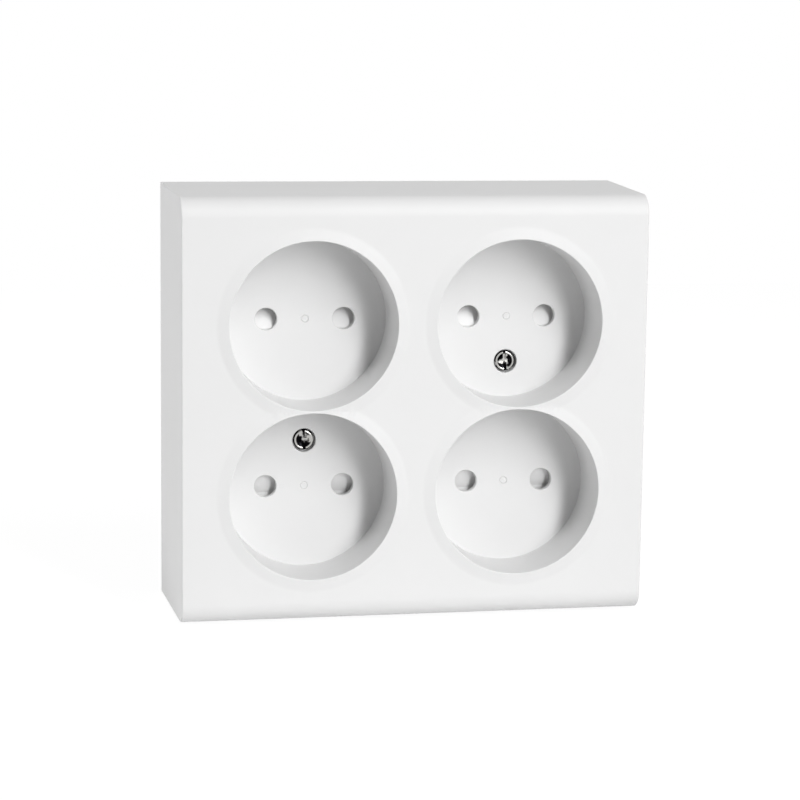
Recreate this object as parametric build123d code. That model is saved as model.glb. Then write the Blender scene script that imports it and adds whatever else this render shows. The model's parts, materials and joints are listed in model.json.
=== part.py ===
from build123d import *
import os
from math import radians, tan

os.makedirs("parts", exist_ok=True)

# Surface mounted socket outlet with four round wells, in millimetres.
# X is to the right seen from the front, Y runs into the wall and Z is up.
# The wall lies at y = 0, so everything in front of it has a negative y.

# Cover
cover_width = 113.0          # across the front face
cover_height = 102.0         # up the front face
cover_depth = 39.5           # wall to front face
draft_angle = 1.1            # degrees, so the cover widens towards the wall
edge_radius = 4.8            # front edges at the top and the bottom
side_edge_radius = 0.3       # front edges at the left and the right
skirt_wall = 2.2
face_wall = 2.4
centre_rib = 1.4             # stiffening rib between the two columns of wells
centre_rib_length = 76.0

# Wells
pitch_x = 50.0               # well centres, left to right
pitch_z = 41.0               # well centres, bottom to top
rim_radius = 20.2
floor_radius = 19.85
well_depth = 14.6            # front face to well floor
floor_thickness = 1.6
cup_wall = 1.9
collar_rise = 0.5            # raised collar round each rim
collar_width = 2.9
rim_bevel = 0.2              # edge broken round the mouth

# Pins of the plug
pin_spacing = 19.0
pin_hole_radius = 2.7
pin_radius = 2.4
pin_clear = 0.2              # open shutter to the pin

# Cover screws, one above the other across the middle of the cover
screw_offset = 11.2          # from the pin line to the screw, towards the middle
screw_radius = 1.5
screw_length = 16.0          # under the head
screw_head_radius = 2.52
screw_head_height = 1.3
screw_head_sink = 0.6        # head top below the well floor
screw_pocket_radius = 2.87
screw_seat = 0.6             # plastic under the head
screw_boss_wall = 1.2        # boss behind the floor, round the pocket
screw_hole_radius = 1.75
drive_slot_width = 0.75
drive_slot_depth = 0.7
drive_cross_width = 0.85
drive_cross_length = 3.0
drive_cross_depth = 1.0

# Threaded inserts in the pillars of the base
insert_radius = 2.6
insert_length = 6.0
insert_bore_radius = 1.55
pillar_radius = 4.1
pillar_blind_end = 1.0       # plastic left under the screw's clearance hole

# Shutters
slide_gap = 0.3              # running clearance round a shutter
shutter_thickness = 3.6
pad_width = 6.8
pad_reach = 3.2              # pad edge past the pin line, on the side it moves to
pad_strip = 0.8              # flat strip along that edge
pad_tail = 1.8               # thickness at the deep end of the ramp
bar_near = 2.2               # near side of the cross bar from the pin line
bar_far = 3.7
bar_relief = 0.5             # cross bar set back from the pads' front
spigot_radius = 0.75
spigot_length = 1.2

# Shutter springs
spring_radius = 1.15         # to the middle of the wire
spring_wire = 0.4
spring_turns = 5
spring_seat = 8.0            # fixed end from the pin line
spring_end_gap = 0.05

# Shutter cages
cage_wall = 1.2
cage_back = 1.5
cage_hole_radius = 3.0
cage_tube_radius = 3.0
cage_seat_half = 2.2
ear_reach = 16.6             # staking post from the middle of the well
ear_drop = 3.0
ear_radius = 2.2
ear_thickness = 1.5
stake_radius = 1.0
stake_head_radius = 1.7
stake_head_height = 0.8
stake_gap = 0.1

# Plates that close the contact chambers
stack_gap = 0.3              # cage to plate
plate_thickness = 1.1
plate_half_width = 16.5
plate_half_height = 28.0
plate_corner = 3.0
plate_hole_radius = 3.1
post_radius = 1.6
post_spigot_radius = 1.2
post_offset = 24.6           # posts above and below the middle
post_gap = 0.05

# Base
base_thickness = 2.5
base_gap = 0.3               # base to the inside of the skirt
base_rim_wall = 1.6
base_rim_height = 9.0        # wall to the front of the base's rim
slot_inset_x = 10.5          # fixing slots, from the sides of the front face
slot_inset_z = 10.0          # and from its top and bottom
slot_length = 8.0
slot_width = 4.4
slot_boss_wall = 2.4
slot_boss_height = 1.0
entry_width = 16.0           # cable entry through the base
entry_length = 20.0
entry_gap = 0.65             # cross link of the busbar to the lip of the entry
entry_lip_wall = 1.4
entry_lip_height = 2.0
knockout_radius = 8.0        # outline pressed into the wall side
knockout_groove = 0.8
knockout_groove_depth = 1.6

# Thin places in the skirt where a surface cable breaks in
break_in_width = 14.0
break_in_skin = 0.7
break_in_front = 14.0
break_in_back = 3.0

# Busbars
bar_thickness = 0.8
bar_width = 6.0
bar_rise = 3.6               # wall to the back of the busbar
bar_tail = 3.2               # bar past the last contact
bar_corner = 1.0
bar_rib = 0.8                # ribs that carry the busbars
link_gap = 1.0               # cross link to the terminals
tab_width = 7.0
tab_over = 0.5               # tab past the end of its terminal
tab_places = (-25.0, -5.0)   # terminals along the link

# Contact clips
clip_sheet = 0.6
clip_width = 5.6
clip_foot = 2.6
clip_pinch = 2.35
clip_flare = 3.2
clip_bend = 0.8
clip_split = 0.7             # slot that makes two fingers of each leaf
clip_mouth_gap = 0.7         # mouth of the clip to the plate
rivet_radius = 1.1
rivet_head_radius = 1.8
rivet_head_height = 0.6
rivet_gap = 0.05

# Chambers round the clips
chamber_wall = 1.2
chamber_half_x = 3.9
chamber_half_z = 4.6
chamber_passage = 5.8        # height of the bar's passage above the wall
chamber_passage_gap = 0.2

# Terminals
terminal_length = 8.0
terminal_wall = 1.0
terminal_top = 3.0
terminal_clear = 5.8         # window for the tab and the wire
terminal_gap = 0.1
terminal_screw_radius = 1.7
terminal_bore_radius = 1.75
terminal_head_radius = 3.0
terminal_head_height = 2.0
terminal_head_gap = 0.3
fence_wall = 1.2
fence_gap = 0.3
fence_height = 8.5

# An open shutter has just cleared the pin
shutter_travel = bar_far + pin_radius + pin_clear

# Levels from the wall, worked out from the sizes above
face_y = -cover_depth
floor_y = face_y + well_depth
floor_back_y = floor_y + floor_thickness
head_under_y = floor_y + screw_head_sink + screw_head_height
seat_back_y = head_under_y + screw_seat
shutter_front_y = floor_back_y + slide_gap
shutter_back_y = shutter_front_y + shutter_thickness
cage_inside_y = shutter_back_y + slide_gap
cage_back_y = cage_inside_y + cage_back
plate_front_y = cage_back_y + stack_gap
plate_back_y = plate_front_y + plate_thickness
bar_back_y = -bar_rise
bar_front_y = bar_back_y - bar_thickness
spring_y = (shutter_front_y + bar_relief + shutter_back_y) / 2

# Heights from the middle: link and terminals lie midway between chambers and skirt
chamber_end = pitch_z / 2 + chamber_half_z + chamber_wall
skirt_inside = cover_height / 2 - skirt_wall
link_low = (chamber_end + skirt_inside - bar_width - link_gap - terminal_length) / 2
link_height = link_low + bar_width / 2
terminal_place = link_low + bar_width + link_gap + terminal_length / 2
tab_end = terminal_place + terminal_length / 2 + tab_over
entry_height = link_low - entry_gap - entry_lip_wall - entry_length / 2
slot_x = cover_width / 2 - slot_inset_x
slot_z = cover_height / 2 - slot_inset_z

COLUMNS = {"left": -pitch_x / 2, "right": pitch_x / 2}
ROWS = {"top": 1, "bottom": -1}
PIN_SIDES = (-pin_spacing / 2, pin_spacing / 2)


def block(x, y, z):
    """Box between the low and high limits given for each axis."""
    middle = Pos((x[0] + x[1]) / 2, (y[0] + y[1]) / 2, (z[0] + z[1]) / 2)
    return middle * Box(x[1] - x[0], y[1] - y[0], z[1] - z[0])


def rod(x, z, y, radius):
    """Cylinder along Y through x and z, between two levels."""
    return Pos(x, (y[0] + y[1]) / 2, z) * Rot(90, 0, 0) * Cylinder(radius, y[1] - y[0])


def slab(outline, y):
    """Flat piece with an outline drawn in X and Z, between two levels."""
    return Pos(0, y[1], 0) * extrude(Plane.XZ * outline, amount=y[1] - y[0])


def turned(outline):
    """Solid turned about the Y axis, from a closed outline of radius and level."""
    return revolve(make_face(outline), Axis.Y)


def drafted(inset, y):
    """Prism of the cover's outline, drawn in by an inset, with the cover's draft."""
    ends = []
    for level in y:
        grow = (level - face_y) * tan(radians(draft_angle)) - inset
        outline = Rectangle(cover_width + 2 * grow, cover_height + 2 * grow)
        ends.append(Pos(0, level, 0) * (Plane.XZ * outline))
    return loft(ends, ruled=True)


def half_turn(piece):
    """The same piece turned half a turn about the axis that runs into the wall."""
    return Rot(0, 180, 0) * piece


def in_well(piece, column, row):
    """Place a piece made at the middle; in the bottom row it is turned upside down."""
    if row == "bottom":
        piece = half_turn(piece)
    return Pos(COLUMNS[column], 0, ROWS[row] * pitch_z / 2) * piece


def save(piece, node):
    """Write one sub-part under the name of its node."""
    export_step(piece, f"parts/{node}.step")


def well_cup():
    """Outside of one well behind the face, and the collar round its rim."""
    cup = rod(0, 0, (face_y + face_wall / 2, floor_back_y), rim_radius + cup_wall)
    crest = rim_radius + rim_bevel
    outline = Polyline(
        (0, face_y - collar_rise),
        (crest, face_y - collar_rise),
        (rim_radius + collar_width, face_y),
        (rim_radius + collar_width, face_y + face_wall / 2),
        (0, face_y + face_wall / 2),
        close=True,
    )
    return cup + turned(outline)


def well_hollow():
    """Inside of one well, which widens to its mouth."""
    rim_y = face_y - collar_rise
    crest = rim_radius + rim_bevel
    outline = Polyline(
        (crest, rim_y),
        (crest, rim_y - 1),
        (0, rim_y - 1),
        (0, floor_y),
        (floor_radius, floor_y),
        (rim_radius, rim_y + rim_bevel),
        close=True,
    )
    return turned(outline)


def stakes():
    """Two posts behind a well floor with heads formed over the ears of the cage."""
    posts = []
    head_y = floor_back_y + ear_thickness
    for side in (-1, 1):
        x = side * ear_reach
        posts.append(rod(x, -ear_drop, (floor_y + floor_thickness / 2, head_y), stake_radius))
        posts.append(rod(x, -ear_drop, (head_y, head_y + stake_head_height), stake_head_radius))
    return Part() + posts


def make_front_cover():
    """Moulded cover: skirt, face, four wells with pin holes, two screw pockets."""
    shell = drafted(0, (face_y, 0))
    front = shell.edges().group_by(Axis.Y)[0]
    shell = fillet(front.filter_by(Axis.X), edge_radius)
    for side in (0, -1):
        flank = shell.faces().sort_by(Axis.X)[side]
        rounded = flank.edges().filter_by(lambda edge: edge.center().Y < face_y + edge_radius)
        shell = fillet(rounded, side_edge_radius)
    inside = drafted(skirt_wall, (face_y + face_wall, 1))
    inside_front = inside.edges().group_by(Axis.Y)[0]
    inside = fillet(inside_front.filter_by(Axis.X), edge_radius - skirt_wall)
    cover = shell - inside
    rib_y = (face_y + face_wall / 2, floor_back_y)
    rib_half = centre_rib_length / 2
    cover += block((-centre_rib / 2, centre_rib / 2), rib_y, (-rib_half, rib_half))
    wells = [(column, row) for column in COLUMNS for row in ROWS]
    cover += [in_well(well_cup(), column, row) for column, row in wells]
    cover += [in_well(stakes(), column, row) for column, row in wells]
    cover -= [in_well(well_hollow(), column, row) for column, row in wells]
    through = (floor_y - 1, floor_back_y + 1)
    for column, row in wells:
        for side in PIN_SIDES:
            cover -= in_well(rod(side, 0, through, pin_hole_radius), column, row)
    boss_y = (floor_y + floor_thickness / 2, seat_back_y)
    boss = rod(0, -screw_offset, boss_y, screw_pocket_radius + screw_boss_wall)
    pocket = rod(0, -screw_offset, (floor_y - 1, head_under_y), screw_pocket_radius)
    hole = rod(0, -screw_offset, (floor_y, seat_back_y + 1), screw_hole_radius)
    for column, row in (("right", "top"), ("left", "bottom")):
        cover += in_well(boss, column, row)
        cover -= in_well(pocket, column, row)
        cover -= in_well(hole, column, row)
    thin = drafted(break_in_skin, (-break_in_front, -break_in_back))
    half = break_in_width / 2
    band = block((-half, half), (-cover_depth, 0), (cover_height / 3, cover_height))
    cover -= thin & band
    cover -= thin & half_turn(band)
    return cover


def make_shutter():
    """Two ramped pads on a cross bar, with a spigot for the spring."""
    ramp_end_y = shutter_back_y - pad_tail
    profile = Polyline(
        (-pad_reach, shutter_front_y),
        (-pad_reach + pad_strip, shutter_front_y),
        (bar_near, ramp_end_y),
        (bar_far, ramp_end_y),
        (bar_far, shutter_back_y),
        (-pad_reach, shutter_back_y),
        close=True,
    )
    # The profile is drawn as height and level, and stands across X.
    section = Plane(origin=(0, 0, 0), x_dir=(0, 0, 1), z_dir=(-1, 0, 0)) * make_face(profile)
    pads = []
    for side in PIN_SIDES:
        pads.append(Pos(side, 0, 0) * extrude(section, amount=pad_width / 2, both=True))
    reach = pin_spacing / 2 - pad_width / 2
    level = (shutter_front_y + bar_relief, shutter_back_y)
    bar = block((-reach, reach), level, (bar_near, bar_far))
    spigot = Pos(0, spring_y, bar_near - spigot_length / 2) * Cylinder(spigot_radius, spigot_length)
    return bar + pads + spigot


def make_shutter_spring():
    """Compression spring between the seat of the cage and the cross bar."""
    low = -spring_seat + spring_end_gap + spring_wire / 2
    high = bar_near - spring_end_gap - spring_wire / 2
    path = Helix(
        pitch=(high - low) / spring_turns,
        height=high - low,
        radius=spring_radius,
        center=(0, spring_y, low),
    )
    start = Plane(origin=path @ 0, z_dir=path % 0)
    wire = start * RegularPolygon(spring_wire / 2, 4)
    return sweep(wire, path=path, is_frenet=True)


def make_shutter_cage():
    """Tray behind a well floor that guides the shutter, with a tube for the screw."""
    half = pin_spacing / 2 + pad_width / 2 + slide_gap
    low = -pad_reach - shutter_travel - slide_gap
    high = bar_far + slide_gap
    depth = (floor_back_y, cage_back_y)
    cage = block(
        (-half - cage_wall, half + cage_wall),
        depth,
        (low - cage_wall, high + cage_wall),
    )
    cage -= block((-half, half), (floor_back_y - 1, cage_inside_y), (low, high))
    cage += rod(0, -screw_offset, (floor_back_y, plate_front_y), cage_tube_radius)
    cage += block((-cage_seat_half, cage_seat_half), depth, (low, -spring_seat))
    spigot_z = -spring_seat + spigot_length / 2
    cage += Pos(0, spring_y, spigot_z) * Cylinder(spigot_radius, spigot_length)
    ear_y = (floor_back_y, floor_back_y + ear_thickness)
    for side in (-1, 1):
        x = side * ear_reach
        ends = sorted((side * (half + cage_wall / 2), x))
        cage += block(ends, ear_y, (-ear_drop - ear_radius, -ear_drop + ear_radius))
        cage += rod(x, -ear_drop, ear_y, ear_radius)
        cage -= rod(x, -ear_drop, (ear_y[0] - 1, ear_y[1] + 1), stake_radius + stake_gap)
    for side in PIN_SIDES:
        cage -= rod(side, 0, (cage_inside_y - 1, cage_back_y + 1), cage_hole_radius)
    boss_y = (floor_back_y - 1, seat_back_y + slide_gap)
    cage -= rod(0, -screw_offset, boss_y, screw_pocket_radius + screw_boss_wall + slide_gap)
    cage -= rod(0, -screw_offset, (floor_back_y - 1, plate_front_y + 1), screw_hole_radius)
    return cage


def drive_recess(top_y, cross_turn):
    """Slot and cross of a screw head whose top is at the level given."""
    half = drive_slot_width / 2
    slot_y = (top_y - 1, top_y + drive_slot_depth)
    slot = block((-half, half), slot_y, (-cover_depth, cover_depth))
    arm = drive_cross_length / 2
    thick = drive_cross_width / 2
    cross_y = (top_y - 1, top_y + drive_cross_depth)
    cross = block((-arm, arm), cross_y, (-thick, thick))
    cross += block((-thick, thick), cross_y, (-arm, arm))
    return slot + Rot(0, cross_turn, 0) * cross


def make_screw(under_y, radius, length, head_radius, head_height):
    """Screw along Y with a low cylindrical head and a combined slot and cross drive."""
    top_y = under_y - head_height
    head = rod(0, 0, (top_y, under_y), head_radius)
    rim = head.edges().sort_by(Axis.Y)[0]
    head = chamfer(rim, head_height / 4)
    shank = rod(0, 0, (under_y, under_y + length), radius)
    tip = shank.edges().sort_by(Axis.Y)[-1]
    shank = chamfer(tip, radius / 3)
    return head + shank - drive_recess(top_y, 0)


def make_insert():
    """Threaded sleeve pressed into the top of a pillar."""
    sleeve = rod(0, 0, (plate_back_y, plate_back_y + insert_length), insert_radius)
    return sleeve - rod(0, 0, (plate_back_y - 1, 0), insert_bore_radius)


def make_busbar():
    """Flat bar with two rails, a cross link and two terminal tabs."""
    rails = [COLUMNS["left"] - pin_spacing / 2, COLUMNS["right"] - pin_spacing / 2]
    rail_low = -pitch_z / 2 - bar_tail
    rail_high = link_height + bar_width / 2
    outline = Sketch()
    for x in rails:
        rail = Rectangle(bar_width, rail_high - rail_low)
        outline += Pos(x, (rail_high + rail_low) / 2) * rail
    link = Rectangle(rails[1] - rails[0], bar_width)
    outline += Pos((rails[0] + rails[1]) / 2, link_height) * link
    for x in tab_places:
        tab = Rectangle(tab_width, tab_end - link_height)
        outline += Pos(x, (tab_end + link_height) / 2) * tab
    outline = fillet(outline.vertices(), bar_corner)
    bar = slab(outline, (bar_front_y, bar_back_y))
    for x in rails:
        for side in (-1, 1):
            z = side * pitch_z / 2
            bar -= rod(x, z, (bar_front_y - 1, 0), rivet_radius + rivet_gap)
    return bar


def make_contact_clip():
    """Spring clip for one pin: two leaves, each split in two fingers, and a rivet."""
    web_y = bar_front_y - clip_sheet / 2
    mouth_y = plate_back_y + clip_mouth_gap
    neck_y = mouth_y + (web_y - mouth_y) * 0.38
    knee_y = mouth_y + (web_y - mouth_y) * 0.75
    path = FilletPolyline(
        (-clip_flare, mouth_y),
        (-clip_pinch, neck_y),
        (-clip_foot, knee_y),
        (-clip_foot, web_y),
        (clip_foot, web_y),
        (clip_foot, knee_y),
        (clip_pinch, neck_y),
        (clip_flare, mouth_y),
        radius=clip_bend,
    )
    clip = extrude(trace(path, clip_sheet), amount=clip_width / 2, both=True)
    reach = clip_flare + clip_sheet
    split_y = (mouth_y - 1, knee_y)
    clip -= block((-reach, reach), split_y, (-clip_split / 2, clip_split / 2))
    clip += rod(0, 0, (web_y, bar_back_y), rivet_radius)
    clip += rod(0, 0, (bar_back_y, bar_back_y + rivet_head_height), rivet_head_radius)
    return clip


def make_terminal():
    """Box terminal round the tab of a busbar, with its threaded top wall."""
    half = tab_width / 2 + terminal_gap
    top_y = bar_back_y - terminal_clear - terminal_top
    ends = (-terminal_length / 2, terminal_length / 2)
    body = block((-half - terminal_wall, half + terminal_wall), (top_y, bar_back_y + terminal_wall), ends)
    body = fillet(body.edges().filter_by(Axis.Z), terminal_wall / 2)
    body -= block((-half, half), (top_y + terminal_top, bar_back_y), (ends[0] - 1, ends[1] + 1))
    return body - rod(0, 0, (top_y - 1, top_y + terminal_top + 1), terminal_bore_radius)


def make_terminal_screw():
    """Clamping screw of a terminal, driven down to the tab."""
    top_y = bar_back_y - terminal_clear - terminal_top
    under_y = top_y - terminal_head_gap
    length = bar_front_y - terminal_head_gap - under_y
    return make_screw(under_y, terminal_screw_radius, length, terminal_head_radius, terminal_head_height)


def make_contact_plate():
    """Insulating plate over the contact chambers of the right column."""
    x = COLUMNS["right"]
    outline = RectangleRounded(2 * plate_half_width, 2 * plate_half_height, plate_corner)
    plate = slab(Pos(x, 0) * outline, (plate_front_y, plate_back_y))
    through = (plate_front_y - 1, plate_back_y + 1)
    for side in PIN_SIDES:
        for z in (-pitch_z / 2, pitch_z / 2):
            plate -= rod(x + side, z, through, plate_hole_radius)
    for z in (-post_offset, post_offset):
        plate -= rod(x, z, through, post_spigot_radius + post_gap)
    return plate - rod(x, pitch_z / 2 - screw_offset, through, screw_hole_radius)


def busbar_ribs():
    """Ribs on the base that carry one busbar, and leave room for the rivet heads."""
    ribs = []
    level = (bar_back_y, -base_thickness / 2)
    edge = bar_width / 2
    rails = [COLUMNS["left"] - pin_spacing / 2, COLUMNS["right"] - pin_spacing / 2]
    for x in rails:
        for side in (-1, 1):
            near = sorted((x + side * (edge - bar_rib), x + side * edge))
            ribs.append(block(near, level, (-pitch_z / 2 - bar_tail, link_height)))
    for side in (-1, 1):
        near = sorted((link_height + side * (edge - bar_rib), link_height + side * edge))
        ribs.append(block((rails[0], rails[1]), level, near))
    return ribs


def chamber(x, z):
    """Walls round one contact clip, open below for the busbar."""
    wide = chamber_half_x + chamber_wall
    long = chamber_half_z + chamber_wall
    ring = block((-wide, wide), (plate_back_y, -base_thickness / 2), (-long, long))
    ring -= block(
        (-chamber_half_x, chamber_half_x),
        (plate_back_y - 1, -base_thickness),
        (-chamber_half_z, chamber_half_z),
    )
    half = bar_width / 2 + chamber_passage_gap
    ring -= block((-half, half), (-chamber_passage, -base_thickness), (-long - 1, long + 1))
    return Pos(x, 0, z) * ring


def fences():
    """Barriers on both sides of each terminal of one busbar."""
    half = tab_width / 2 + terminal_gap + terminal_wall + fence_gap
    ends = (terminal_place - terminal_length / 2, terminal_place + terminal_length / 2)
    walls = []
    for x in tab_places:
        for side in (-1, 1):
            near = sorted((x + side * half, x + side * (half + fence_wall)))
            walls.append(block(near, (-base_thickness - fence_height, -base_thickness / 2), ends))
    return walls


def make_base():
    """Back plate with its rim, fixing slots, cable entry, chambers and pillars."""
    base = drafted(skirt_wall + base_gap, (-base_rim_height, 0))
    base -= drafted(skirt_wall + base_gap + base_rim_wall, (-base_rim_height - 1, -base_thickness))
    half = break_in_width / 2
    tall = (-cover_height, cover_height)
    rim_y = (-base_rim_height - 1, -base_thickness)
    base -= block((-half, half), rim_y, tall)
    slot_boss = SlotOverall(slot_length + 2 * slot_boss_wall, slot_width + 2 * slot_boss_wall)
    boss_y = (-base_thickness - slot_boss_height, -base_thickness / 2)
    corners = [(x, z) for x in (-slot_x, slot_x) for z in (-slot_z, slot_z)]
    base += [slab(Pos(x, z) * slot_boss, boss_y) for x, z in corners]
    lip = SlotOverall(entry_length + 2 * entry_lip_wall, entry_width + 2 * entry_lip_wall, rotation=90)
    lip_y = (-base_thickness - entry_lip_height, -base_thickness / 2)
    base += slab(Pos(0, entry_height) * lip, lip_y)
    chambers = []
    for x in COLUMNS.values():
        for side in PIN_SIDES:
            for z in (-pitch_z / 2, pitch_z / 2):
                chambers.append(chamber(x + side, z))
    base += chambers
    screw_x = COLUMNS["right"]
    screw_z = pitch_z / 2 - screw_offset
    pillar = rod(screw_x, screw_z, (plate_back_y, -base_thickness / 2), pillar_radius)
    supports = [pillar, half_turn(pillar)]
    for x in COLUMNS.values():
        for z in (-post_offset, post_offset):
            supports.append(rod(x, z, (plate_back_y, -base_thickness / 2), post_radius))
            supports.append(rod(x, z, (plate_front_y, plate_back_y), post_spigot_radius))
    base += supports
    carriers = busbar_ribs() + fences()
    base += carriers
    base += [half_turn(piece) for piece in carriers]
    seat = rod(screw_x, screw_z, (plate_back_y - 1, plate_back_y + insert_length), insert_radius)
    relief = rod(screw_x, screw_z, (plate_back_y, -pillar_blind_end), screw_hole_radius)
    base -= [seat, relief, half_turn(seat), half_turn(relief)]
    slot = SlotOverall(slot_length, slot_width)
    base -= [slab(Pos(x, z) * slot, (-base_rim_height, 1)) for x, z in corners]
    entry = SlotOverall(entry_length, entry_width, rotation=90)
    base -= slab(Pos(0, entry_height) * entry, (-base_rim_height, 1))
    groove = rod(0, -entry_height, (-knockout_groove_depth, 1), knockout_radius)
    groove -= rod(0, -entry_height, (-base_thickness, 2), knockout_radius - knockout_groove)
    return base - groove


save(make_front_cover(), "front_cover")
save(make_base(), "base")

screw_place = Pos(COLUMNS["right"], 0, pitch_z / 2 - screw_offset)
cover_screw = screw_place * make_screw(
    head_under_y, screw_radius, screw_length, screw_head_radius, screw_head_height
)
insert = screw_place * make_insert()
save(cover_screw, "cover_screw_upper")
save(half_turn(cover_screw), "cover_screw_lower")
save(insert, "screw_insert_upper")
save(half_turn(insert), "screw_insert_lower")

shutter = make_shutter()
spring = make_shutter_spring()
cage = make_shutter_cage()
for row in ROWS:
    for column in COLUMNS:
        save(in_well(shutter, column, row), f"shutter_{row}_{column}")
        save(in_well(spring, column, row), f"shutter_spring_{row}_{column}")
        save(in_well(cage, column, row), f"shutter_cage_{row}_{column}")

busbar = make_busbar()
save(busbar, "live_busbar")
save(half_turn(busbar), "neutral_busbar")

clip = make_contact_clip()
for row in ROWS:
    for column in COLUMNS:
        for side, pin_x in zip(("left", "right"), PIN_SIDES):
            place = Pos(COLUMNS[column] + pin_x, 0, ROWS[row] * pitch_z / 2)
            save(place * clip, f"contact_clip_{row}_{column}_{side}")

terminal = make_terminal()
terminal_screw = make_terminal_screw()
for name, x in zip(("outer", "inner"), tab_places):
    place = Pos(x, 0, terminal_place)
    save(place * terminal, f"live_terminal_{name}")
    save(half_turn(place * terminal), f"neutral_terminal_{name}")
    save(place * terminal_screw, f"live_terminal_screw_{name}")
    save(half_turn(place * terminal_screw), f"neutral_terminal_screw_{name}")

contact_plate = make_contact_plate()
save(contact_plate, "contact_plate_right")
save(half_turn(contact_plate), "contact_plate_left")
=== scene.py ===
import json
import logging
import math
from dataclasses import dataclass
from enum import Enum
from typing import Callable, Iterable, Sequence

import bmesh
import bpy
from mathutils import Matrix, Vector


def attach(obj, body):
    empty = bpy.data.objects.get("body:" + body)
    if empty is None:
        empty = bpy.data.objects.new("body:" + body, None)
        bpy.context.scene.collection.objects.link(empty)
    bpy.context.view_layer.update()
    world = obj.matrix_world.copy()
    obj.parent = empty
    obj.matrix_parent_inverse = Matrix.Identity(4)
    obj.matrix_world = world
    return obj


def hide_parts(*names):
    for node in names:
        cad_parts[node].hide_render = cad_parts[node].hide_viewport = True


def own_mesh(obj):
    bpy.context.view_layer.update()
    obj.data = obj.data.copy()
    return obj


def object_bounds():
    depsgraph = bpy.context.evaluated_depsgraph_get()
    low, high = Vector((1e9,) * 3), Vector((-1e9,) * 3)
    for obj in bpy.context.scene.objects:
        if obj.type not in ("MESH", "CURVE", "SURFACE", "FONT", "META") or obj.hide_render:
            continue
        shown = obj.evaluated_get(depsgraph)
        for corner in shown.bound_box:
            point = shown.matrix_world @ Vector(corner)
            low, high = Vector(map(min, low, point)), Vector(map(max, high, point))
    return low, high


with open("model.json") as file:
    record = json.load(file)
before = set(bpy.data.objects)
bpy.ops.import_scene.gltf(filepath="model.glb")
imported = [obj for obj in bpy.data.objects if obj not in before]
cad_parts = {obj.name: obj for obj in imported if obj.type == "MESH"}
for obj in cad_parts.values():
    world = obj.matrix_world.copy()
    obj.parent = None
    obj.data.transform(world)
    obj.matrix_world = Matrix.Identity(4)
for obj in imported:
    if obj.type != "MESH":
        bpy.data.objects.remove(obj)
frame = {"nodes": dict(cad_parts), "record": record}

LOG = logging.getLogger("socket")
MM = 0.001
CAD_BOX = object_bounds()
HOUSING = "housing"

# A cutter runs this far past what it cuts, in millimetres.
OVERRUN = 1
# An end that is as near as this to a level, or to a side, counts as on it, in millimetres.
NEAR, HAIR = 1, 0.01
# Points closer than this become one, in metres.
MERGE_GAP = 1e-7
# Faces round turned shapes.
FINE, ROUND, COARSE = 144, 64, 48
WHITE = (1, 1, 1, 1)

Point = tuple[float, float]
Colour = tuple[float, float, float]
MATERIALS: dict[str, bpy.types.Material] = {}


class Cut(Enum):
    """The ways in which one mesh changes another."""

    AWAY = "DIFFERENCE"
    ON = "UNION"
    COMMON = "INTERSECT"


class Row(Enum):
    """A row of wells, and which way its shutters and screws lie."""

    TOP = 1
    BOTTOM = -1

    @property
    def word(self) -> str:
        """The row's word in the node names."""
        return self.name.lower()


class Column(Enum):
    """A column of wells."""

    LEFT = -1
    RIGHT = 1

    @property
    def word(self) -> str:
        """The column's word in the node names."""
        return self.name.lower()


@dataclass(frozen=True)
class WellGrid:
    """Where the wells and what lies in them are, in millimetres."""

    pitch_x: float = 50.0
    pitch_z: float = 41.0
    pin_spacing: float = 19.0
    screw_offset: float = 11.2

    def centre(self, row: Row, column: Column) -> Point:
        """Middle of one well.

        Args:
            row: the well's row.
            column: the well's column.

        Returns:
            Its x and z.
        """
        return column.value * self.pitch_x / 2, row.value * self.pitch_z / 2

    def centres(self) -> list[Point]:
        """Middles of all the wells."""
        return [self.centre(row, column) for row in Row for column in Column]

    def pins(self) -> list[Point]:
        """Middles of all the pin holes."""
        half = self.pin_spacing / 2
        return [(x + side * half, z) for x, z in self.centres() for side in (-1, 1)]

    def screws(self) -> dict[str, Point]:
        """Middles of the cover screws, by the screw's word in the node names."""
        x, z = self.centre(Row.TOP, Column.RIGHT)
        return {"upper": (x, z - self.screw_offset), "lower": (-x, self.screw_offset - z)}


GRID = WellGrid()


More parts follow.
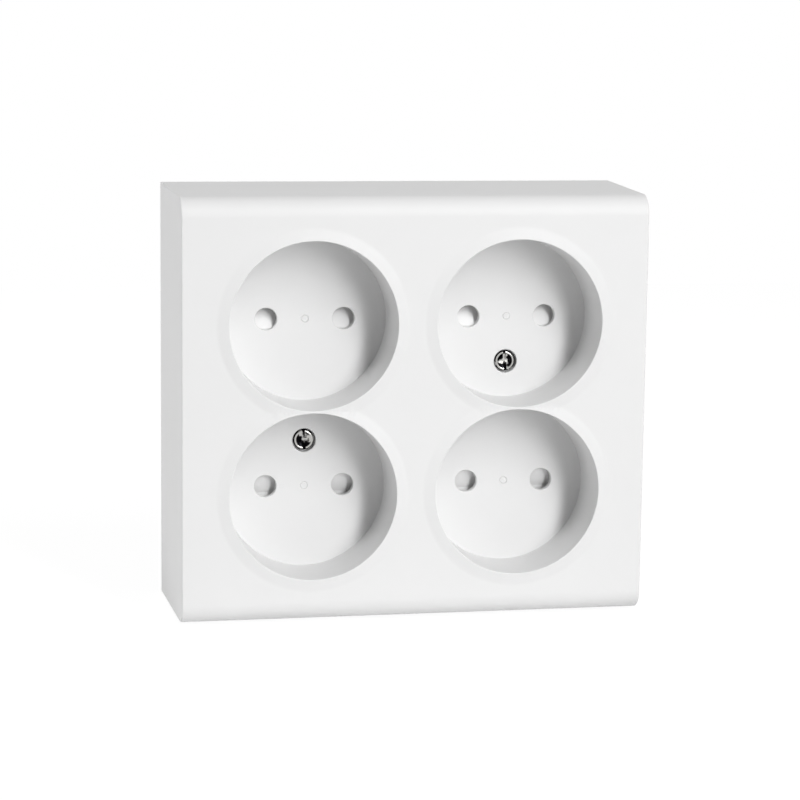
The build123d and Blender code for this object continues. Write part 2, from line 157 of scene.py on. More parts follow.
class Bench:
    """Modelling steps that several pieces share."""

    @staticmethod
    def clear() -> None:
        """Leave object mode with nothing selected."""
        if bpy.context.object and bpy.context.object.mode != "OBJECT":
            bpy.ops.object.mode_set(mode="OBJECT")
        bpy.ops.object.select_all(action="DESELECT")

    @staticmethod
    def take(obj: bpy.types.Object) -> None:
        """Select one object alone and make it active.

        Args:
            obj: the object to work on.
        """
        Bench.clear()
        obj.hide_set(False)
        obj.select_set(True)
        bpy.context.view_layer.objects.active = obj

    @staticmethod
    def apply_place(obj: bpy.types.Object) -> None:
        """Put an object's place, turn and size into its mesh.

        Args:
            obj: the object, which then sits at the origin.
        """
        Bench.take(obj)
        bpy.ops.object.transform_apply(location=True, rotation=True, scale=True)

    @staticmethod
    def block(name: str, low: Sequence[float], high: Sequence[float]) -> bpy.types.Object:
        """Box between two corners.

        Args:
            name: the object's name.
            low: lowest corner, in millimetres.
            high: highest corner, in millimetres.

        Returns:
            The box, at the origin.
        """
        Bench.clear()
        middle = [(a + b) / 2 * MM for a, b in zip(low, high)]
        bpy.ops.mesh.primitive_cube_add(size=1, location=middle)
        obj = bpy.context.object
        obj.name = name
        obj.scale = [(b - a) * MM for a, b in zip(low, high)]
        Bench.apply_place(obj)
        return obj

    @staticmethod
    def line(name: str, points: Sequence[Point]) -> bpy.types.Object:
        """Line of edges, drawn by extruding one point.

        Args:
            name: the object's name.
            points: radius and level of each point, in millimetres.

        Returns:
            The line, in edit mode with all of it selected.
        """
        Bench.clear()
        bpy.ops.mesh.primitive_plane_add(size=MM)
        obj = bpy.context.object
        obj.name = name
        bpy.ops.object.mode_set(mode="EDIT")
        bpy.ops.mesh.select_mode(type="VERT")
        bpy.ops.mesh.select_all(action="SELECT")
        bpy.ops.mesh.merge(type="CENTER")
        bpy.ops.mesh.select_all(action="SELECT")
        bpy.ops.transform.translate(value=(points[0][0] * MM, points[0][1] * MM, 0))
        for last, here in zip(points, points[1:]):
            step = ((here[0] - last[0]) * MM, (here[1] - last[1]) * MM, 0)
            bpy.ops.mesh.extrude_vertices_move(TRANSFORM_OT_translate={"value": step})
        bpy.ops.mesh.select_all(action="SELECT")
        return obj

    @staticmethod
    def turned(name: str, outline: Sequence[Point], steps: int) -> bpy.types.Object:
        """Solid turned about the axis that runs into the wall through the origin.

        Args:
            name: the object's name.
            outline: radius and level of each point, from axis to axis, in millimetres.
            steps: faces round the axis.

        Returns:
            A closed mesh.
        """
        obj = Bench.line(name, outline)
        bpy.ops.mesh.spin(steps=steps, angle=math.tau, center=(0, 0, 0), axis=(0, 1, 0))
        bpy.ops.mesh.select_all(action="SELECT")
        bpy.ops.mesh.remove_doubles(threshold=MERGE_GAP)
        bpy.ops.mesh.normals_make_consistent(inside=False)
        bpy.ops.object.mode_set(mode="OBJECT")
        return obj

    @staticmethod
    def copy_to(model: bpy.types.Object, place: Point, half_turn: bool = False) -> bpy.types.Object:
        """Copy of a model at another place, with a mesh of its own.

        Args:
            model: the object to copy, made at the origin.
            place: x and z of the copy, in millimetres.
            half_turn: turn the copy upside down, as in the bottom row.

        Returns:
            The copy, with its place in its mesh.
        """
        Bench.take(model)
        bpy.ops.object.duplicate(linked=False)
        twin = bpy.context.object
        twin.rotation_euler = (0, math.pi if half_turn else 0, 0)
        twin.location = (place[0] * MM, 0, place[1] * MM)
        Bench.apply_place(twin)
        return twin

    @staticmethod
    def at_places(model: bpy.types.Object, places: Iterable[Point]) -> bpy.types.Object:
        """Copies of a model at several places, as one object.

        Args:
            model: the object to copy, which is used up.
            places: x and z of each copy, in millimetres.

        Returns:
            The copies, joined.
        """
        copies = [Bench.copy_to(model, place) for place in places]
        bpy.data.objects.remove(model)
        return Bench.join(copies)

    @staticmethod
    def select_edges(obj: bpy.types.Object, wanted: Callable[[Vector, Vector], bool]) -> None:
        """Enter edit mode with the edges selected whose two ends pass a test.

        Args:
            obj: the object, which becomes active.
            wanted: takes the ends of an edge in millimetres and says if it is wanted.
        """
        Bench.take(obj)
        bpy.ops.object.mode_set(mode="EDIT")
        bpy.ops.mesh.select_mode(type="EDGE")
        bpy.ops.mesh.select_all(action="DESELECT")
        shape = bmesh.from_edit_mesh(obj.data)
        for edge in shape.edges:
            first, second = (vert.co / MM for vert in edge.verts)
            edge.select_set(wanted(first, second))
        bmesh.update_edit_mesh(obj.data)

    @staticmethod
    def round_edges(
        obj: bpy.types.Object, wanted: Callable[[Vector, Vector], bool], radius: float, steps: int
    ) -> None:
        """Round some edges of an object.

        Args:
            obj: the object to change.
            wanted: picks the edges, as in select_edges.
            radius: of the rounding, in millimetres.
            steps: faces across the rounding.
        """
        Bench.select_edges(obj, wanted)
        bpy.ops.mesh.bevel(offset=radius * MM, segments=steps, profile=0.5, clamp_overlap=False)
        bpy.ops.object.mode_set(mode="OBJECT")

    @staticmethod
    def join(objects: Sequence[bpy.types.Object]) -> bpy.types.Object:
        """Make one object of several.

        Args:
            objects: the objects, the first of which stays.

        Returns:
            The first object.
        """
        Bench.take(objects[0])
        for other in objects[1:]:
            other.select_set(True)
        if len(objects) > 1:
            bpy.ops.object.join()
        return objects[0]

    @staticmethod
    def change(obj: bpy.types.Object, tool: bpy.types.Object, cut: Cut) -> None:
        """Cut a tool away from an object or add it on, and use the tool up.

        Args:
            obj: the object that stays.
            tool: a closed mesh, which is deleted.
            cut: what to do.
        """
        Bench.take(obj)
        step = obj.modifiers.new("change", "BOOLEAN")
        step.operation = cut.value
        step.solver = "EXACT"
        step.object = tool
        bpy.ops.object.modifier_apply(modifier=step.name)
        bpy.data.objects.remove(tool)

    @staticmethod
    def smooth(obj: bpy.types.Object, angle: float, weighted: bool = True) -> None:
        """Shade an object smooth apart from its sharp edges.

        Args:
            obj: the object.
            angle: edges that turn by more degrees than this stay sharp.
            weighted: let large flat faces keep their own normal.
        """
        Bench.take(obj)
        bpy.ops.object.shade_smooth_by_angle(angle=math.radians(angle))
        if weighted:
            step = obj.modifiers.new("even", "WEIGHTED_NORMAL")
            step.keep_sharp = True
            step.weight = 100
            bpy.ops.object.modifier_apply(modifier=step.name)


class NodeKit:
    """Shader node groups that the finishes use."""

    VECTOR = "NodeSocketVector"
    COLOUR = "NodeSocketColor"
    VALUE = "NodeSocketFloat"
    CLOUD_DETAIL = 3
    GRAIN_DETAIL = 2
    PATCH_EDGE = (0.57, 0.62)

    @staticmethod
    def empty(name: str, inputs: dict[str, str], outputs: dict[str, str]) -> bpy.types.NodeTree:
        """Group with its sockets and nothing in it.

        Args:
            name: the group's name.
            inputs: kind of each input, by its name.
            outputs: kind of each output, by its name.

        Returns:
            The group, with its input and output nodes.
        """
        tree = bpy.data.node_groups.new(name, "ShaderNodeTree")
        for sockets, way in ((inputs, "INPUT"), (outputs, "OUTPUT")):
            for label, kind in sockets.items():
                tree.interface.new_socket(name=label, in_out=way, socket_type=kind)
        tree.nodes.new("NodeGroupInput")
        tree.nodes.new("NodeGroupOutput")
        return tree

    @staticmethod
    def blend(tree: bpy.types.NodeTree) -> tuple[dict, bpy.types.NodeSocket]:
        """Add a node that mixes two colours.

        Args:
            tree: the tree to put it in.

        Returns:
            Its inputs by identifier, and its result.
        """
        node = tree.nodes.new("ShaderNodeMix")
        node.data_type = "RGBA"
        inputs = {socket.identifier: socket for socket in node.inputs}
        outputs = {socket.identifier: socket for socket in node.outputs}
        return inputs, outputs["Result_Color"]

    @classmethod
    def grain(cls) -> bpy.types.NodeTree:
        """The group for a faintly uneven surface: tone, gloss and height.

        Returns:
            The group, which is made on its first use.
        """
        found = bpy.data.node_groups.get("surface_grain")
        if found:
            return found
        values = ("Cloud scale", "Grain scale", "Gloss low", "Gloss high")
        inputs = {"Position": cls.VECTOR, "Tone": cls.COLOUR, "Shade tone": cls.COLOUR}
        inputs.update({label: cls.VALUE for label in values})
        outputs = {"Colour": cls.COLOUR, "Roughness": cls.VALUE, "Height": cls.VALUE}
        tree = cls.empty("surface_grain", inputs, outputs)
        nodes, links = tree.nodes, tree.links
        enter, leave = nodes["Group Input"], nodes["Group Output"]
        cloud, fine = nodes.new("ShaderNodeTexNoise"), nodes.new("ShaderNodeTexNoise")
        gloss = nodes.new("ShaderNodeMapRange")
        tone, colour = cls.blend(tree)
        cloud.inputs["Detail"].default_value = cls.CLOUD_DETAIL
        fine.inputs["Detail"].default_value = cls.GRAIN_DETAIL
        links.new(enter.outputs["Position"], cloud.inputs["Vector"])
        links.new(enter.outputs["Position"], fine.inputs["Vector"])
        links.new(enter.outputs["Cloud scale"], cloud.inputs["Scale"])
        links.new(enter.outputs["Grain scale"], fine.inputs["Scale"])
        links.new(cloud.outputs["Fac"], tone["Factor_Float"])
        links.new(enter.outputs["Tone"], tone["A_Color"])
        links.new(enter.outputs["Shade tone"], tone["B_Color"])
        links.new(cloud.outputs["Fac"], gloss.inputs["Value"])
        links.new(enter.outputs["Gloss low"], gloss.inputs["To Min"])
        links.new(enter.outputs["Gloss high"], gloss.inputs["To Max"])
        links.new(colour, leave.inputs["Colour"])
        links.new(gloss.outputs["Result"], leave.inputs["Roughness"])
        links.new(fine.outputs["Fac"], leave.inputs["Height"])
        return tree

    @classmethod
    def recess(cls) -> bpy.types.NodeTree:
        """The group that paints shade on metal below a level, apart from bare patches where the painted
        shade is left off.

        Returns:
            The group, which is made on its first use.
        """
        found = bpy.data.node_groups.get("dark_recess")
        if found:
            return found
        inputs = {"Position": cls.VECTOR, "Colour": cls.COLOUR, "Dark": cls.COLOUR}
        inputs.update({"Rim level": cls.VALUE, "Deep level": cls.VALUE, "Patch scale": cls.VALUE})
        tree = cls.empty("dark_recess", inputs, {"Colour": cls.COLOUR})
        nodes, links = tree.nodes, tree.links
        enter, leave = nodes["Group Input"], nodes["Group Output"]
        # Painted shade: below the rim level the colour turns to the dark colour, a stand-in for shade
        # and dark reflections in a screw head; noise patches leave it off so bare metal shows.
        split, depth = nodes.new("ShaderNodeSeparateXYZ"), nodes.new("ShaderNodeMapRange")
        patch, bare = nodes.new("ShaderNodeTexNoise"), nodes.new("ShaderNodeMapRange")
        both = nodes.new("ShaderNodeMath")
        tone, colour = cls.blend(tree)
        both.operation = "MULTIPLY"
        low, high = cls.PATCH_EDGE
        for label, value in (("From Min", low), ("From Max", high), ("To Min", 1), ("To Max", 0)):
            bare.inputs[label].default_value = value
        links.new(enter.outputs["Position"], split.inputs[0])
        links.new(split.outputs["Y"], depth.inputs["Value"])
        links.new(enter.outputs["Rim level"], depth.inputs["From Min"])
        links.new(enter.outputs["Deep level"], depth.inputs["From Max"])
        links.new(enter.outputs["Position"], patch.inputs["Vector"])
        links.new(enter.outputs["Patch scale"], patch.inputs["Scale"])
        links.new(patch.outputs["Fac"], bare.inputs["Value"])
        links.new(depth.outputs["Result"], both.inputs[0])
        links.new(bare.outputs["Result"], both.inputs[1])
        links.new(both.outputs[0], tone["Factor_Float"])
        links.new(enter.outputs["Colour"], tone["A_Color"])
        links.new(enter.outputs["Dark"], tone["B_Color"])
        links.new(colour, leave.inputs["Colour"])
        return tree


@dataclass(frozen=True)
class Finish:
    """A plain or metal surface with a faint grain.

    Attributes:
        name: the material's name.
        tone: main colour, linear.
        shade: share of the main colour in the darker clouds.
        gloss: lowest and highest roughness.
        metal: 1 for bare metal.
        cloud: clouds of tone and gloss per metre.
        grain: grains per metre.
        relief: height of the grain, in millimetres.
        sheen: specular level of the surface.
        stretch: scale of the pattern along each axis.
    """

    name: str
    tone: Colour
    shade: float = 0.985
    gloss: Point = (0.34, 0.42)
    metal: float = 0.0
    cloud: float = 60.0
    grain: float = 5200.0
    relief: float = 0.004
    sheen: float = 0.5
    stretch: tuple[float, float, float] = (1.0, 1.0, 1.0)

    def material(self) -> bpy.types.Material:
        """The material of this finish, made on its first use.

        Returns:
            The material.
        """
        if self.name in MATERIALS:
            return MATERIALS[self.name]
        made = bpy.data.materials.new(f"finish_{self.name}")
        MATERIALS[self.name] = made
        made.use_nodes = True
        nodes, links = made.node_tree.nodes, made.node_tree.links
        shader = nodes["Principled BSDF"]
        shader.inputs["Metallic"].default_value = self.metal
        shader.inputs["Specular IOR Level"].default_value = self.sheen
        shader.inputs["IOR"].default_value = 1.5
        place, turn = nodes.new("ShaderNodeTexCoord"), nodes.new("ShaderNodeMapping")
        turn.inputs["Scale"].default_value = self.stretch
        grain = nodes.new("ShaderNodeGroup")
        grain.node_tree = NodeKit.grain()
        bump = nodes.new("ShaderNodeBump")
        bump.inputs["Strength"].default_value = 1.0
        bump.inputs["Distance"].default_value = self.relief * MM
        grain.inputs["Tone"].default_value = (*self.tone, 1)
        grain.inputs["Shade tone"].default_value = (*(c * self.shade for c in self.tone), 1)
        grain.inputs["Cloud scale"].default_value = self.cloud
        grain.inputs["Grain scale"].default_value = self.grain
        grain.inputs["Gloss low"].default_value = self.gloss[0]
        grain.inputs["Gloss high"].default_value = self.gloss[1]
        links.new(place.outputs["Object"], turn.inputs["Vector"])
        links.new(turn.outputs["Vector"], grain.inputs["Position"])
        colour = self.with_painted_shade(made.node_tree, place.outputs["Object"], grain.outputs["Colour"])
        links.new(colour, shader.inputs["Base Color"])
        links.new(grain.outputs["Roughness"], shader.inputs["Roughness"])
        links.new(grain.outputs["Height"], bump.inputs["Height"])
        links.new(bump.outputs["Normal"], shader.inputs["Normal"])
        return made

    def with_painted_shade(
        self, tree: bpy.types.NodeTree, position: bpy.types.NodeSocket, colour: bpy.types.NodeSocket
    ) -> bpy.types.NodeSocket:
        """Paint shade into the colour by place; a plain finish paints none and leaves it.

        Args:
            tree: the material's nodes; not used by a plain finish.
            position: Object coordinates; not used by a plain finish.
            colour: the colour so far.

        Returns:
            The colour to use.
        """
        return colour

    def dress(self, obj: bpy.types.Object) -> None:
        """Give an object this finish alone.

        Args:
            obj: the object.
        """
        obj.data.materials.clear()
        obj.data.materials.append(self.material())


@dataclass(frozen=True)
class PaintedShadeFinish(Finish):
    """Metal of a screw's head, with painted shade below its rim: a dark colour that stands in for shade
    and dark reflections.

    Attributes:
        dark: colour of the painted shade below the rim, linear.
        rim_level: level of the rim, where the painted shade begins, in millimetres.
        deep_level: level from which the painted shade is full, in millimetres.
        patches: bright patches per metre, where the painted shade is left off and the bare metal shows.
    """

    dark: Colour = (0.003, 0.003, 0.0035)
    rim_level: float = 0.0
    deep_level: float = 0.1
    patches: float = 380.0

    def with_painted_shade(
        self, tree: bpy.types.NodeTree, position: bpy.types.NodeSocket, colour: bpy.types.NodeSocket
    ) -> bpy.types.NodeSocket:
        """Paint shade on what lies below the rim.

        Args:
            tree: the material's nodes.
            position: Object coordinates.
            colour: the colour so far.

        Returns:
            The colour with its painted shade.
        """
        # Painted shade: a dark colour on the head's recess and inner face, standing in for shade and
        # the dark surroundings that polished nickel reflects.
        recess = tree.nodes.new("ShaderNodeGroup")
        recess.node_tree = NodeKit.recess()
        recess.inputs["Dark"].default_value = (*self.dark, 1)
        recess.inputs["Rim level"].default_value = self.rim_level * MM
        recess.inputs["Deep level"].default_value = self.deep_level * MM
        recess.inputs["Patch scale"].default_value = self.patches
        tree.links.new(position, recess.inputs["Position"])
        tree.links.new(colour, recess.inputs["Colour"])
        return recess.outputs["Colour"]


COVER_WHITE = Finish("cover_white", (0.74, 0.74, 0.74), gloss=(0.4, 0.48), sheen=0.2)
BASE_WHITE = Finish("base_white", (0.78, 0.78, 0.77), gloss=(0.45, 0.55), grain=2600, relief=0.008)
SHUTTER_PALE = Finish("shutter_pale", (0.84, 0.84, 0.84), gloss=(0.4, 0.5), sheen=0.2)
CAGE_PALE = Finish("cage_pale", (0.66, 0.66, 0.64), gloss=(0.45, 0.55))
PLATE_GREY = Finish("plate_grey", (0.1, 0.105, 0.115), shade=0.9, gloss=(0.4, 0.55))
NICKEL = Finish("bright_nickel", (0.74, 0.72, 0.68), 0.9, (0.1, 0.22), 1.0, cloud=900, relief=0.002)
# Screw nickel with painted shade: dark from just under the head's top inwards, apart from noise
# patches. Its tone is darker than bright_nickel as a painted dark reflection of the surroundings that
# the polished head reflects.
SCREW_HEAD_PAINTED_SHADE = PaintedShadeFinish(
    name="screw_head_nickel_painted_shade",
    tone=(0.46, 0.455, 0.44),
    gloss=(0.1, 0.22),
    metal=1.0,
    cloud=900,
    relief=0.002,
    rim_level=-24.27,
    deep_level=-24.21,
)
SPRING_STEEL = Finish("drawn_steel", (0.56, 0.56, 0.57), 0.85, (0.2, 0.32), 1.0, cloud=1500)
ZINC = Finish("zinc_plate", (0.62, 0.61, 0.57), 0.85, (0.3, 0.45), 1.0, cloud=500)
BRONZE = Finish("rolled_bronze", (0.67, 0.42, 0.2), 0.85, (0.25, 0.38), 1.0, stretch=(1, 1, 0.1))
BRASS = Finish("rolled_brass", (0.75, 0.55, 0.24), 0.88, (0.22, 0.36), 1.0, stretch=(1, 1, 0.1))

SLOT_FINISHES = {
    "cover_white": COVER_WHITE,
    "base_white": BASE_WHITE,
    "shutter_plastic": SHUTTER_PALE,
    "cage_plastic": CAGE_PALE,
    "plate_plastic": PLATE_GREY,
    "screw_nickel": NICKEL,
    "spring_steel": SPRING_STEEL,
    "terminal_steel": ZINC,
    "contact_bronze": BRONZE,
    "brass": BRASS,
}


def settle(obj: bpy.types.Object, body: str, slot: str, *nodes: str) -> None:
    """Give a finished piece its finish and its body, and hide the CAD nodes that it stands for.

    Args:
        obj: the piece.
        body: the body that it rides on.
        slot: the material slot of the record.
        nodes: the CAD nodes that it replaces.
    """
    SLOT_FINISHES[slot].dress(obj)
    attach(obj, body)
    if nodes:
        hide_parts(*nodes)
    LOG.info("%s: %d faces on %s", obj.name, len(obj.data.polygons), body)


@dataclass
class FrontCover:
    """The moulded cover, in millimetres and degrees, with shares of them as named."""

    width: float = 113.0
    height: float = 102.0
    depth: float = 39.5
    draft: float = 1.1
    edge_radius: float = 4.8
    arris: float = 0.35
    wall: float = 2.2
    face_wall: float = 2.4
    rim_radius: float = 20.2
    floor_radius: float = 19.85
    well_depth: float = 14.6
    floor_thickness: float = 1.6
    cup_wall: float = 1.9
    collar_rise: float = 0.5
    collar_reach: float = 3.3
    knee_share: float = 0.72
    knee_drop_share: float = 0.82
    rim_round: float = 0.2
    rim_land: float = 0.06
    foot_round: float = 0.08
    pin_hole: float = 2.7
    hole_round: float = 0.25
    pocket_radius: float = 2.87
    pocket_depth: float = 1.9
    screw_seat: float = 0.6
    boss_wall: float = 1.2
    rib_width: float = 1.4
    rib_length: float = 76.0
    stake_x: float = 16.6
    stake_drop: float = 3.0
    stake_radius: float = 1.0
    stake_length: float = 1.5
    stake_head_radius: float = 1.7
    stake_head_height: float = 0.8
    head_side_share: float = 0.4
    stake_head_drop: float = 0.08
    head_end_shares: Point = (0.8, 0.45)
    break_in_width: float = 14.0
    break_in_skin: float = 0.7
    break_in_front: float = -14.0
    break_in_back: float = -3.0
    screw_hole: float = 1.75
    mark_radius: float = 0.85
    mark_width: float = 0.3
    mark_depth: float = 0.2
    edge_steps: int = 16
    arris_steps: int = 4
    inside_steps: int = 6
    smooth_angle: float = 35.0

    @property
    def face(self) -> float:
        """Level of the front face."""
        return -self.depth

    @property
    def floor(self) -> float:
        """Level of the well floors."""
        return self.face + self.well_depth

    @property
    def floor_back(self) -> float:
        """Level of the back of the well floors."""
        return self.floor + self.floor_thickness

    @property
    def seat_back(self) -> float:
        """Level of the back of the seats under the screw heads."""
        return self.floor + self.pocket_depth + self.screw_seat

    def prism(self, name: str, inset: float, front: float, back: float) -> bpy.types.Object:
        """Block of the cover's outline with its draft.

        Args:
            name: the object's name.
            inset: how far its sides lie inside the cover's.
            front: level of its front.
            back: level of its back.

        Returns:
            The block.
        """
        slope = math.tan(math.radians(self.draft))
        near, far = ((level - self.face) * slope - inset for level in (front, back))
        half_x, half_z = self.width / 2, self.height / 2
        block = Bench.block(
            name, (-half_x - far, front, -half_z - far), (half_x + far, back, half_z + far)
        )
        middle = (front + back) / 2
        Bench.select_edges(block, lambda a, b: a.y < middle and b.y < middle)
        shrink = ((half_x + near) / (half_x + far), 1, (half_z + near) / (half_z + far))
        bpy.ops.transform.resize(value=shrink, center_override=(0, front * MM, 0))
        bpy.ops.object.mode_set(mode="OBJECT")
        return block

    def skirt(self) -> bpy.types.Object:
        """Outside of the cover: round front edges above and below, crisp ones elsewhere.

        Returns:
            The shell, still solid.
        """
        shell = self.prism("front_cover_moulding", 0, self.face, 0)
        Bench.round_edges(shell, self._is_long_front_edge, self.edge_radius, self.edge_steps)
        Bench.round_edges(shell, self._is_side_edge, self.arris, self.arris_steps)
        return shell

    def _is_long_front_edge(self, a: Vector, b: Vector) -> bool:
        """True for the front edges that run along X."""
        return max(a.y, b.y) < self.face + NEAR and abs(a.x - b.x) > self.width / 2

    def _is_long_inside_edge(self, a: Vector, b: Vector) -> bool:
        """True for the edges behind the face that run along X."""
        front = self.face + self.face_wall + NEAR
        return max(a.y, b.y) < front and abs(a.x - b.x) > self.width / 2

    def _is_side_edge(self, a: Vector, b: Vector) -> bool:
        """True for the edges round each side face, apart from those at the wall."""
        on_side = min(abs(a.x), abs(b.x)) > self.width / 2 - HAIR and a.x * b.x > 0
        return on_side and min(a.y, b.y) <= -NEAR

    def cavity(self) -> bpy.types.Object:
        """Inside of the cover behind the face.

        Returns:
            The cutter.
        """
        space = self.prism("cavity", self.wall, self.face + self.face_wall, OVERRUN)
        radius = self.edge_radius - self.wall
        Bench.round_edges(space, self._is_long_inside_edge, radius, self.inside_steps)
        return space

    def rib(self) -> bpy.types.Object:
        """Rib behind the face between the two columns of wells.

        Returns:
            The bar.
        """
        half, front = self.rib_width / 2, self.face + self.face_wall / 2
        low = (-half, front, -self.rib_length / 2)
        return Bench.block("rib", low, (half, self.floor_back, self.rib_length / 2))

    def cup(self) -> bpy.types.Object:
        """Outside of one well, with the collar that stands round its rim.

        Returns:
            The turned solid.
        """
        root = self.face + self.face_wall / 2
        outer = self.rim_radius + self.cup_wall
        crest = self.rim_radius + self.rim_round + self.rim_land
        top = self.face - self.collar_rise
        foot = self.rim_radius + self.collar_reach
        knee = crest + (foot - crest) * self.knee_share
        knee_rise = self.collar_rise * self.knee_drop_share
        outline = [(0, top), (crest, top), (knee, top + knee_rise)]
        for share in (0.25, 0.5, 0.75, 1.0):
            level = top + knee_rise + (self.collar_rise - knee_rise) * (1 - (1 - share) ** 2)
            outline.append((knee + (foot - knee) * share, level))
        outline += [(foot, root), (outer, root), (outer, self.floor_back), (0, self.floor_back)]
        return Bench.turned("cup", outline, FINE)

    def hollow(self) -> bpy.types.Object:
        """Inside of one well, with a rounded mouth.

        Returns:
            The cutter.
        """
        top = self.face - self.collar_rise
        crest = self.rim_radius + self.rim_round
        middle, foot = self.floor_radius - self.foot_round, self.foot_round
        outline = [(0, self.floor)]
        for turn in range(0, 91, 30):
            angle = math.radians(turn)
            level = self.floor - foot * (1 - math.cos(angle))
            outline.append((middle + foot * math.sin(angle), level))
        for turn in range(0, 91, 15):
            angle = math.radians(turn)
            radius = crest - self.rim_round * math.cos(angle)
            outline.append((radius, top + self.rim_round * (1 - math.sin(angle))))
        outline += [(crest, top - OVERRUN), (0, top - OVERRUN)]
        return Bench.turned("hollow", outline, FINE)

    def boss(self) -> bpy.types.Object:
        """Boss behind a well floor, round the pocket of a screw.

        Returns:
            The turned solid.
        """
        radius = self.pocket_radius + self.boss_wall
        front = self.floor + self.floor_thickness / 2
        outline = [(0, front), (radius, front), (radius, self.seat_back), (0, self.seat_back)]
        return Bench.turned("boss", outline, ROUND)

    def stake(self) -> bpy.types.Object:
        """Post behind a well floor, with the head that is formed over an ear of the cage.

        Returns:
            The turned solid.
        """
        front = self.floor + self.floor_thickness / 2
        under = self.floor_back + self.stake_length
        end = under + self.stake_head_height
        post, head = self.stake_radius, self.stake_head_radius
        outline = [(0, front), (post, front), (post, under), (head, under)]
        outline.append((head, under + self.head_side_share * self.stake_head_height))
        crown, flat = (head * share for share in self.head_end_shares)
        outline += [(crown, end - self.stake_head_drop), (flat, end), (0, end)]
        return Bench.turned("stake", outline, COARSE)

    def stake_places(self) -> list[Point]:
        """Where the stakes are: two beside each well, each row the other way up.

        Returns:
            The x and z of each.
        """
        places = []
        for row in Row:
            for column in Column:
                x, z = GRID.centre(row, column)
                level = z - row.value * self.stake_drop
                places += [(x + side * self.stake_x, level) for side in (-1, 1)]
        return places

    def break_in(self, row: Row) -> bpy.types.Object:
        """Hollow that leaves a thin skin in the skirt, for a surface cable.

        Args:
            row: the side of the cover that it is on.

        Returns:
            The cutter.
        """
        inside = self.prism("break_in", self.break_in_skin, self.break_in_front, self.break_in_back)
        half = self.break_in_width / 2
        ends = sorted((row.value * self.height / 3, row.value * self.height))
        band = Bench.block("band", (-half, self.face, ends[0]), (half, 0, ends[1]))
        Bench.change(inside, band, Cut.COMMON)
        return inside

    def hole(self, radius: float, end: float, steps: int) -> bpy.types.Object:
        """Cutter for a round hole from a well floor, with its edge rounded.

        Args:
            radius: of the hole.
            end: level of its end.
            steps: faces round it.

        Returns:
            The cutter.
        """
        edge = self.hole_round
        outline = [(0, self.floor - OVERRUN), (radius + edge, self.floor - OVERRUN)]
        for turn in (90, 67.5, 45, 22.5, 0):
            angle = math.radians(turn)
            level = self.floor + edge * (1 - math.sin(angle))
            outline.append((radius + edge * (1 - math.cos(angle)), level))
        outline += [(radius, end), (0, end)]
        return Bench.turned("hole", outline, steps)

    def mark(self) -> bpy.types.Object:
        """Cutter for the faint ring at the middle of a well floor.

        Returns:
            The cutter.
        """
        outer, inner = (self.mark_radius + side * self.mark_width / 2 for side in (1, -1))
        front, deep = self.floor - OVERRUN, self.floor + self.mark_depth
        outline = [(inner, front), (outer, front), (outer, self.floor)]
        outline += [(self.mark_radius, deep), (inner, self.floor), (inner, front)]
        return Bench.turned("mark", outline, COARSE)

    def build(self) -> bpy.types.Object:
        """Make the whole cover.

        Returns:
            The piece, dressed and riding on the housing.
        """
        cover = self.skirt()
        screws = list(GRID.screws().values())
        Bench.change(cover, self.cavity(), Cut.AWAY)
        Bench.change(cover, self.rib(), Cut.ON)
        cup, hollow = self.cup(), self.hollow()
        for place in GRID.centres():
            Bench.change(cover, Bench.copy_to(cup, place), Cut.ON)
        Bench.change(cover, Bench.at_places(self.boss(), screws), Cut.ON)
        Bench.change(cover, Bench.at_places(self.stake(), self.stake_places()), Cut.ON)
        for place in GRID.centres():
            Bench.change(cover, Bench.copy_to(hollow, place), Cut.AWAY)
        bpy.data.objects.remove(cup)
        bpy.data.objects.remove(hollow)
        pin_hole = self.hole(self.pin_hole, self.floor_back + OVERRUN, ROUND)
        Bench.change(cover, Bench.at_places(pin_hole, GRID.pins()), Cut.AWAY)
        pocket = self.hole(self.pocket_radius, self.floor + self.pocket_depth, ROUND)
        Bench.change(cover, Bench.at_places(pocket, screws), Cut.AWAY)
        bore = self.hole(self.screw_hole, self.seat_back + OVERRUN, COARSE)
        Bench.change(cover, Bench.at_places(bore, screws), Cut.AWAY)
        Bench.change(cover, Bench.at_places(self.mark(), GRID.centres()), Cut.AWAY)
        for row in Row:
            Bench.change(cover, self.break_in(row), Cut.AWAY)
        cover.name = "front_cover_moulding"
        Bench.smooth(cover, self.smooth_angle)
        settle(cover, HOUSING, "cover_white", "front_cover")
        return cover


